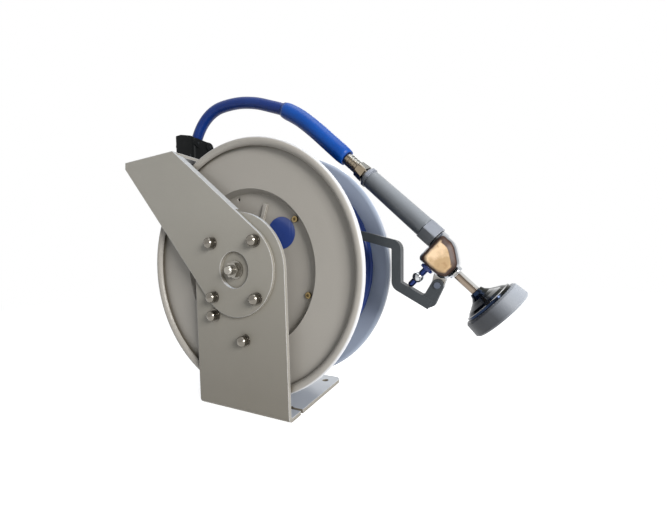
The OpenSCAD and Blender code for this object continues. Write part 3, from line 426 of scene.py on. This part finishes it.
# --------------------------------------------------- Bolts, nuts and washers
# Zinc-plated steel, turned and cold-headed, with a faint yellow passivation.
# They clamp the arm to the pedestal and carry the pawl and its spring.
def turned_metal(name, colour, rough=0.30, spread=0.5, crevice_shade=0.9):
    metal = Finish(name, Metallic=1.0)
    patches = metal.steps(metal.grain(120, 5), [(0.35, 0.0), (0.7, 1.0)])
    # The edge mask paints a highlight on sharp edges.
    rim = metal.edge(0.0006)
    tone = metal.blend(patches * spread, colour, tuple(c * 0.72 for c in colour))
    # Painted shade in crevices and round the heads.
    tone = metal.blend(metal.crevice(0.006) * crevice_shade, tone, tuple(c * 0.16 for c in colour))
    metal.feed("Base Color", metal.blend(rim * 0.5, tone, tuple(min(1, c * 1.3) for c in colour)))
    metal.feed("Roughness", metal.grain(200, 4) * 0.2 + (rough - 0.1))
    metal.relief(metal.grain(1500, 2), 0.00004, radius=0.0004)
    return metal


zinc = turned_metal("zinc_plate", linear(124, 119, 111), 0.20, crevice_shade=1.0)
dress(zinc, "arm_bolts", "arm_nuts", "pawl_bolt", "anchor_bolt")
bright_zinc = turned_metal("bright_zinc", linear(166, 162, 154), 0.22, crevice_shade=0.8)
dress(bright_zinc, "shaft_nut")


# ------------------------------------------------------ Shaft and steel work
# Bright turned steel for the shaft, arbor and collar, flame-cut steel for the ratchet and pawl,
# grey spring steel, blacked pins and screws for the guide, and a zinc plated riser pipe.
machined = turned_metal("machined_steel", linear(176, 175, 171), 0.28)
dress(machined, "main_shaft", "spring_arbor", "shaft_collar", "ratchet", "pawl", "spray_face")
spring_steel = turned_metal("spring_steel", linear(96, 102, 114), 0.34)
dress(spring_steel, "pawl_clip", "pawl_spring", "power_spring", "lever_pin")
blacked_steel = turned_metal("blacked_steel", linear(44, 47, 50), 0.40)
dress(blacked_steel, "roller_pins", "guide_screws")
dress(bright_zinc, "riser_pipe")


# -------------------------------------------------------------- Brass pieces
# Cast and turned brass: the water path, the bushes and the socket screws of the hub.
# The cut faces are bright, the cast faces dull and a little brown.
brass = turned_metal("machined_brass", linear(196, 164, 98), 0.30, spread=0.8)
dress(brass, "front_bush", "rear_bush", "swivel_hub", "hose_elbow", "inlet_elbow")
# The hub's socket screws are given a darker brass.
darker_brass = turned_metal("hub_screw_brass", linear(150, 130, 90), 0.26, spread=0.9)
dress(darker_brass, "hub_screws")


# ------------------------------------------------------------- Hub plate sign
# A bare round plate of navy vinyl on the hub, with nothing printed on it.
# Its face is glossy with hair scratches, and its cut edge paler.
navy = Finish("navy_vinyl", Coat_Weight=0.4, Coat_Roughness=0.1)
scratches = navy.steps(navy.grain(260, 2, (1, 1, 0.06)), [(0.62, 0.0), (0.70, 1.0)])
navy.feed("Base Color", navy.blend(scratches * 0.3, linear(44, 66, 132), linear(88, 108, 166)))
navy.feed("Roughness", navy.grain(40, 4) * 0.2 + 0.22)
navy.relief(navy.grain(900, 2), 0.00003, radius=0.0003)
dress(navy, "hub_badge")


# -------------------------------------------------------------- Hose guide
# Moulded black nylon box, screwed to the arm's shelf, with four rollers of the same nylon.
# Its skin has the fine matt spark texture of the mould.
def moulded(name, colour, rough=0.45, grain=800, shine=0.5):
    plastic = Finish(name, Specular_IOR_Level=shine)
    haze = plastic.steps(plastic.grain(45, 5), [(0.4, 0.0), (0.8, 1.0)])
    # The edge mask paints a highlight along the edges.
    rim = plastic.edge(0.0008)
    tone = plastic.blend(haze * 0.5, colour, tuple(c * 1.35 + 0.004 for c in colour))
    plastic.tone = plastic.blend(rim * 0.5, tone, tuple(c * 1.9 + 0.01 for c in colour))
    plastic.feed("Base Color", plastic.tone)
    plastic.feed("Roughness", plastic.grain(110, 4) * 0.18 + (rough - 0.09))
    plastic.relief(plastic.grain(grain, 3), 0.00008, radius=0.0006)
    return plastic


guide_black = moulded("guide_black", linear(7, 9, 10), 0.46, shine=0.08)
dress(guide_black, "guide_frame")
roller_black = moulded("roller_black", linear(40, 42, 45), 0.35)
dress(roller_black, "roller_left", "roller_right", "roller_front", "roller_back")


# ------------------------------------------------------------ Grip and lever
# Grip of dark grey heat-proof plastic on a steel tube, lever of bent bar with a dark grey coat.
# The hexagon and the collar at the grip's ends have a lighter coat.
SLOPE = 0.7071
AXIS_OFFSET = 0.3592


def along(finish, x, y, z):
    """Distance of a point of the piece along the given direction, in metres."""
    return finish.node(
        "VectorMath", {"operation": "DOT_PRODUCT"}, {0: finish.place(), 1: (x, y, z)}, out="Value"
    )


def paint_upper_light(finish, reach, stops, painted_light_tone, tone):
    """Tone, with painted light in the given colour along the upper side of the sloping valve and grip."""
    share = (along(finish, SLOPE, 0, SLOPE) - AXIS_OFFSET) * (0.5 / reach) + 0.5
    finish.feed("Base Color", finish.blend(finish.steps(share, stops), tone, painted_light_tone))


grip_grey = moulded("grip_grey", linear(86, 90, 94), 0.34)
# The grip's upper side gets painted light.
paint_upper_light(grip_grey, 0.013, [(0.45, 0.0), (0.95, 1.0)], linear(134, 138, 143), grip_grey.tone)
dress(grip_grey, "grip")
lever_grey = moulded("lever_grey", linear(54, 58, 61), 0.42, shine=0.3)
dress(lever_grey, "lever")
nut_grey = moulded("nut_grey", linear(86, 89, 93), 0.34)
# So do the upper sides of the hexagon and the collar.
paint_upper_light(nut_grey, 0.016, [(0.48, 0.0), (0.56, 1.0)], linear(134, 138, 147), nut_grey.tone)
dress(nut_grey, "grip_hex_nut", "grip_collar")


# --------------------------------------------------------- Spray valve body
# One squarish brass casting, ground, polished and chrome plated, with a lug for the lever's pin.
# The broad sides get a painted warm reflection, with a painted dark reflection round their edges.
VALVE_AT = Vector((0.2514, HOSE_PLANE, 0.2566))
VALVE_TURN = Matrix.Rotation(math.radians(135), 3, "Y")
SIDE_OUTLINES = [
    (9, [(-10.5, 23), (-10.5, 41), (6, 64.5), (26, 64.5), (32, 55), (33, 46), (33, 24), (28, 20),
         (-7, 20)]),
    (14.5, [(-7.5, 25), (-7.5, 40), (7.5, 61), (25, 61), (29.5, 53), (30.5, 45), (30.5, 27), (26, 23),
            (-4, 23)]),
    (18, [(-1, 30), (-1, 39), (10, 55), (22, 55), (25, 49), (26, 43), (26, 32), (22, 28), (2, 28)]),
]
LUG = [(14, 52), (24, 62), (37, 67.6), (43, 68.2), (48, 63), (47.5, 56.5), (45, 54.6), (32, 46.5)]
STEM_Z, BOSS_END, STEM_BORE = 37, 33, 4.6
BAR_CHAMFER = 0.8
CASTING_DEPTH = 0.04


def from_valve(x, y, z):
    """A point of the valve's own axes, in millimetres, placed in the assembly."""
    return VALVE_AT + VALVE_TURN @ Vector((x, y, z)) / 1000


def rounded_outline(points, cuts=2):
    """The closed outline with its corners cut over and over."""
    for _ in range(cuts):
        points = [
            tuple(p + (q - p) * share for p, q in zip(a, b))
            for a, b in zip(points, [*points[1:], points[0]])
            for share in (0.18, 0.82)
        ]
    return points


def shell(rings):
    """Corners and faces of a closed lump through rings of equal length."""
    sides = len(rings[0])
    faces = [tuple(reversed(range(sides))), tuple(range((len(rings) - 1) * sides, len(rings) * sides))]
    for i in range(len(rings) - 1):
        for k in range(sides):
            a, b = i * sides + k, i * sides + (k + 1) % sides
            faces.append((a, b, b + sides, a + sides))
    return [point for ring in rings for point in ring], faces


def round_bar(start, end, radius, axis, off, sides=48):
    """A turned lump along the valve's x or z axis."""
    rings = []
    small = radius - BAR_CHAMFER
    profile = ((start, small), (start + BAR_CHAMFER, radius), (end - BAR_CHAMFER, radius), (end, small))
    for at, r in profile:
        turns = [2 * math.pi * k / sides for k in range(sides)]
        if axis == "x":
            rings.append([from_valve(at, r * math.cos(t), off + r * math.sin(t)) for t in turns])
        else:
            rings.append([from_valve(off + r * math.cos(t), r * math.sin(t), at) for t in turns])
    return shell(rings)


def cast(name, lumps, grain_size, soften):
    """One casting from overlapping lumps, with soft fillets where they meet."""
    points, faces = [], []
    for lump_points, lump_faces in lumps:
        faces += [tuple(len(points) + corner for corner in face) for face in lump_faces]
        points += lump_points
    mesh = bpy.data.meshes.new(name)
    mesh.from_pydata([tuple(p) for p in points], [], faces)
    piece = bpy.data.objects.new(name, mesh)
    bpy.context.collection.objects.link(piece)
    fused = piece.modifiers.new("fused", "REMESH")
    fused.mode = "VOXEL"
    fused.voxel_size = grain_size
    polished = piece.modifiers.new("polished", "SMOOTH")
    polished.factor = 0.5
    polished.iterations = soften
    return piece


def settle(piece):
    """Makes the piece's modifiers part of its mesh, and smooths its shading."""
    drawn = piece.evaluated_get(bpy.context.evaluated_depsgraph_get())
    mesh = bpy.data.meshes.new_from_object(drawn)
    piece.modifiers.clear()
    piece.data = mesh
    for face in mesh.polygons:
        face.use_smooth = True


half = [(y, rounded_outline(outline)) for y, outline in SIDE_OUTLINES]
slices = [(-y, outline) for y, outline in reversed(half)] + half
body_lump = shell([[from_valve(x, y, z) for x, z in outline] for y, outline in slices])
lug_outline = rounded_outline(LUG)
lug_lump = shell([[from_valve(x, y, z) for x, z in lug_outline] for y in (-2.9, 2.9)])
grip_socket = round_bar(19, 29, 12, "z", 0)
neck_socket = round_bar(42, 67.5, 9, "z", 15.5)
stem_socket = round_bar(12, BOSS_END, 11, "x", STEM_Z)
casting = cast(
    "valve_casting", [body_lump, lug_lump, grip_socket, neck_socket, stem_socket], 0.00065, soften=7
)
bore = bpy.data.meshes.new("stem_bore")
bore_points, bore_faces = round_bar(27, 46, STEM_BORE, "x", STEM_Z)
bore.from_pydata([tuple(p) for p in bore_points], [], bore_faces)
drill = bpy.data.objects.new("stem_bore", bore)
bpy.context.collection.objects.link(drill)
drilled = casting.modifiers.new("drilled", "BOOLEAN")
drilled.operation = "DIFFERENCE"
drilled.object = drill
settle(casting)
bpy.data.objects.remove(drill)


def plated(name, light, warm, dark, bands, rough=0.08):
    """Chrome with painted reflections; bands are half widths in metres where the chrome gives way to a
    painted warm side with a painted dark outline.
    """
    chrome = Finish(name)
    behind = chrome.node("SeparateXYZ", None, {"Vector": chrome.place()}, out="Y") + -HOSE_PLANE
    across = chrome.node("Math", {"operation": "ABSOLUTE"}, {0: behind})
    across = across + (chrome.grain(160, 3) - 0.5) * 0.0022
    starts, outline_full, warm_full, ends = (band / CASTING_DEPTH for band in bands)
    share = across * (1 / CASTING_DEPTH)
    depth = behind * (1 / CASTING_DEPTH) + 0.5
    edge_mask = chrome.steps(share, [(starts, 0.0), (outline_full, 1.0), (warm_full, 1.0), (ends, 0.0)])
    face_mask = chrome.steps(share, [(outline_full, 0.0), (warm_full, 1.0)])
    # The broad sides get a painted warm reflection, paler towards the grip, with random stains.
    toward_grip = (along(chrome, SLOPE, 0, -SLOPE) + 0.0037) * 14 + (chrome.grain(110, 4) - 0.5) * 0.5
    ivory = chrome.steps(toward_grip, [(0.44, 1.0), (0.62, 0.0)])
    painted_light_tone = chrome.blend(ivory, warm, tuple(min(1, c * 1.4 + 0.16) for c in warm))
    stain = chrome.steps(chrome.grain(120, 4), [(0.55, 0.0), (0.68, 1.0)])
    painted_light_tone = chrome.blend(stain * 0.5, painted_light_tone, tuple(c * f for c, f in zip(warm, (0.62, 0.45, 0.32))))
    clouds = chrome.steps(chrome.grain(70, 3), [(0.42, 0.0), (0.62, 1.0)])
    tone = chrome.blend(clouds * 0.6, light, tuple(c * 0.5 for c in light))
    # Painted reflections: greyer towards the front, darker at the rear, and paler on faces that look
    # forward.
    front_grey = chrome.steps(depth, [(0.20, 0.5), (0.40, 0.0)])
    tone = chrome.blend(front_grey, tone, linear(120, 124, 130))
    rear_dark = chrome.steps(depth, [(0.62, 0.0), (0.70, 1.0)])
    tone = chrome.blend(rear_dark, tone, linear(84, 86, 98))
    lug_side = chrome.steps(facing(chrome, 0, -1, 0), [(0.80, 0.0), (0.95, 1.0)])
    tone = chrome.blend(lug_side * 0.9, tone, linear(150, 147, 140))
    tone = chrome.blend(face_mask, tone, painted_light_tone)
    # Painted dark reflection round the warm sides and on the shoulder that faces up and right, and painted
    # shade in crevices.
    tone = chrome.blend(edge_mask, tone, dark)
    bare = chrome.steps(share, [(starts, 0.0), (outline_full, 1.0)])
    shoulder = chrome.steps(facing(chrome, 0.78, -0.1, 0.6), [(0.22, 0.0), (0.45, 1.0)])
    tone = chrome.blend(shoulder * bare, tone, dark)
    chrome.feed("Base Color", chrome.blend(chrome.crevice(0.004) * 0.8, tone, dark))
    chrome.feed("Metallic", 1 - face_mask * 0.9)
    chrome.feed("Roughness", bare * 0.44 + chrome.grain(90, 4) * 0.08 + (rough - 0.04))
    chrome.relief(chrome.grain(60, 2), 0.00008)
    return chrome


casting_chrome = plated(
    "casting_chrome", linear(206, 209, 214), linear(196, 164, 122), linear(62, 44, 36),
    (0.0118, 0.0140, 0.0160, 0.0174),
)
casting.data.materials.append(casting_chrome.material)
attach(casting, "frame")
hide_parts("valve_body")


# ------------------------------------------- Stem, neck, bell and hose ends
# Turned brass pieces under the same plate; the stem's bonnet is a press fit of blue plastic.
# The bell and the stem sit low and in the shade of the hand, and their chrome is painted dark as shade and
# reflection.
def turned_chrome(name, light, warm, dark, rough=0.08):
    chrome = Finish(name, Metallic=1.0)
    # Painted reflections: light, warm and dark bands by which way the surface faces, darker where it turns
    # away, and painted shade in crevices.
    wobble = facing(chrome, -0.42, -0.86, -0.28) + (chrome.grain(70, 3) - 0.5) * 0.2
    shade = chrome.steps(wobble, [(0.30, 0.0), (0.62, 1.0)])
    line = chrome.steps(wobble, [(0.52, 0.0), (0.60, 1.0), (0.68, 1.0), (0.76, 0.0)])
    tone = chrome.blend(shade * 0.8, light, warm)
    tone = chrome.blend(line * 0.7, tone, dark)
    turned_away = chrome.steps(facing(chrome, 0.459, -0.889, 0.03), [(0.08, 1.0), (0.34, 0.0)])
    tone = chrome.blend(turned_away * 0.8, tone, dark)
    chrome.feed("Base Color", chrome.blend(chrome.crevice(0.004) * 0.9, tone, dark))
    chrome.feed("Roughness", chrome.grain(90, 4) * 0.08 + (rough - 0.04))
    chrome.relief(chrome.grain(60, 2), 0.00008, radius=0.0008)
    return chrome


neck_chrome = turned_chrome(
    "neck_chrome", linear(206, 206, 204), linear(112, 88, 60), linear(52, 40, 30)
)
dress(neck_chrome, "spray_neck")
crimped_chrome = turned_chrome(
    "crimped_chrome", linear(150, 149, 144), linear(152, 136, 112), linear(62, 57, 52), rough=0.26
)
dress(crimped_chrome, "hose_ferrule", "swivel_nut")
cool_chrome = turned_chrome(
    "cool_chrome", linear(208, 210, 212), linear(172, 174, 176), linear(52, 56, 66)
)
dress(cool_chrome, "stem_knob")
dark_chrome = turned_chrome(
    "dark_chrome", linear(70, 86, 138), linear(30, 42, 88), linear(16, 22, 40), rough=0.14
)
dress(dark_chrome, "valve_stem")
deep_chrome = turned_chrome(
    "deep_chrome", linear(44, 45, 41), linear(36, 50, 76), linear(18, 20, 24), rough=0.14
)
dress(deep_chrome, "spray_bell")
bonnet_blue = moulded("bonnet_blue", linear(34, 56, 128), 0.24)
dress(bonnet_blue, "valve_bonnet")


# ------------------------------------------------------------- Rubber ring
# Thick grey rubber ring pushed over the rim of the bell, so that it can be knocked about.
# Its skin is smooth and bloomed paler at random, with painted light on its upper side.
bumper = Finish("bumper_rubber", Specular_IOR_Level=0.4)
bloom = bumper.steps(bumper.grain(22, 5), [(0.35, 0.0), (0.7, 1.0)])
rubber = bumper.blend(bloom * 0.4, linear(60, 62, 66), linear(72, 74, 79))
# Painted light on the upper side of the ring.
paint_upper_light(bumper, 0.038, [(0.25, 0.0), (0.95, 1.0)], linear(184, 189, 197), rubber)
bumper.feed("Roughness", bumper.grain(80, 4) * 0.2 + 0.34)
bumper.relief(bumper.grain(700, 3), 0.0001, radius=0.0008)
dress(bumper, "spray_bumper")


# ------------------------------------------------------------ Floor and light
# Pale studio floor that runs out into a white background, with soft light from the upper right.
# One large soft lamp at the right, a weak one above and one behind, and an even sky.
FLOOR = 14
SKY_TINT = (0.90, 0.95, 1.0)
AIM_AT = Vector((0, 0, 0.22))
floor_mesh = bpy.data.meshes.new("studio_floor")
floor_mesh.from_pydata(
    [(-FLOOR, -FLOOR, 0), (FLOOR, -FLOOR, 0), (FLOOR, FLOOR, 0), (-FLOOR, FLOOR, 0)], [], [(0, 1, 2, 3)]
)
floor = bpy.data.objects.new("studio_floor", floor_mesh)
floor.location.z = -0.0005
bpy.context.collection.objects.link(floor)


def seen_directly(finish):
    """1 where the camera or a mirror looks, 0 for the light that falls on the object."""
    ways = ("Is Camera Ray", "Is Glossy Ray", "Is Transmission Ray")
    return sum(finish.node("LightPath", out=way) for way in ways)


paper = Finish("studio_paper", Roughness=0.95, Specular_IOR_Level=0.0)
paper.feed("Base Color", paper.blend(paper.grain(3, 2) * 0.02, (0.86, 0.86, 0.86), (0.84, 0.84, 0.84)))
plain_paper = Signal(paper, paper.shader.outputs[0])
glow = paper.node("Emission", None, {"Color": (1, 1, 1), "Strength": 0.80})
near_paper = paper.node("AddShader", None, {0: plain_paper, 1: glow})
far_paper = paper.node("Emission", None, {"Color": (1, 1, 1), "Strength": 1.0})
away = paper.node("VectorMath", {"operation": "LENGTH"}, {0: paper.place()}, out="Value")
fade = paper.steps(away * 0.25, [(0.14, 0.0), (0.5, 1.0)])
white_paper = paper.node("MixShader", None, {0: fade, 1: near_paper, 2: far_paper})
paper.surface(paper.node("MixShader", None, {0: seen_directly(paper), 1: plain_paper, 2: white_paper}))
floor_mesh.materials.append(paper.material)

bpy.context.scene.world = bpy.data.worlds.new("studio_sky")
sky = Finish("studio_sky", sky=bpy.context.scene.world)
sky_light = sky.node("Background", None, {"Color": SKY_TINT, "Strength": 0.14})
sky_white = sky.node("Background", None, {"Color": (1, 1, 1), "Strength": 1.0})
sky.surface(sky.node("MixShader", None, {0: seen_directly(sky), 1: sky_light, 2: sky_white}))


def soft_lamp(name, place, size, watts, tint=(1, 1, 1)):
    light = bpy.data.lights.new(name, "AREA")
    light.size = size
    light.energy = watts
    light.color = tint
    lamp = bpy.data.objects.new(name, light)
    lamp.location = place
    lamp.rotation_mode = "QUATERNION"
    lamp.rotation_quaternion = (AIM_AT - Vector(place)).to_track_quat("-Z", "Y")
    bpy.context.collection.objects.link(lamp)


soft_lamp("key_lamp", (2.16, -1.25, 1.0), 0.95, 72)
soft_lamp("top_lamp", (0.3, -0.1, 2.4), 1.2, 13, SKY_TINT)
soft_lamp("back_lamp", (-0.6, 1.9, 1.4), 1.2, 13)

bpy.context.scene.view_settings.view_transform = "Standard"
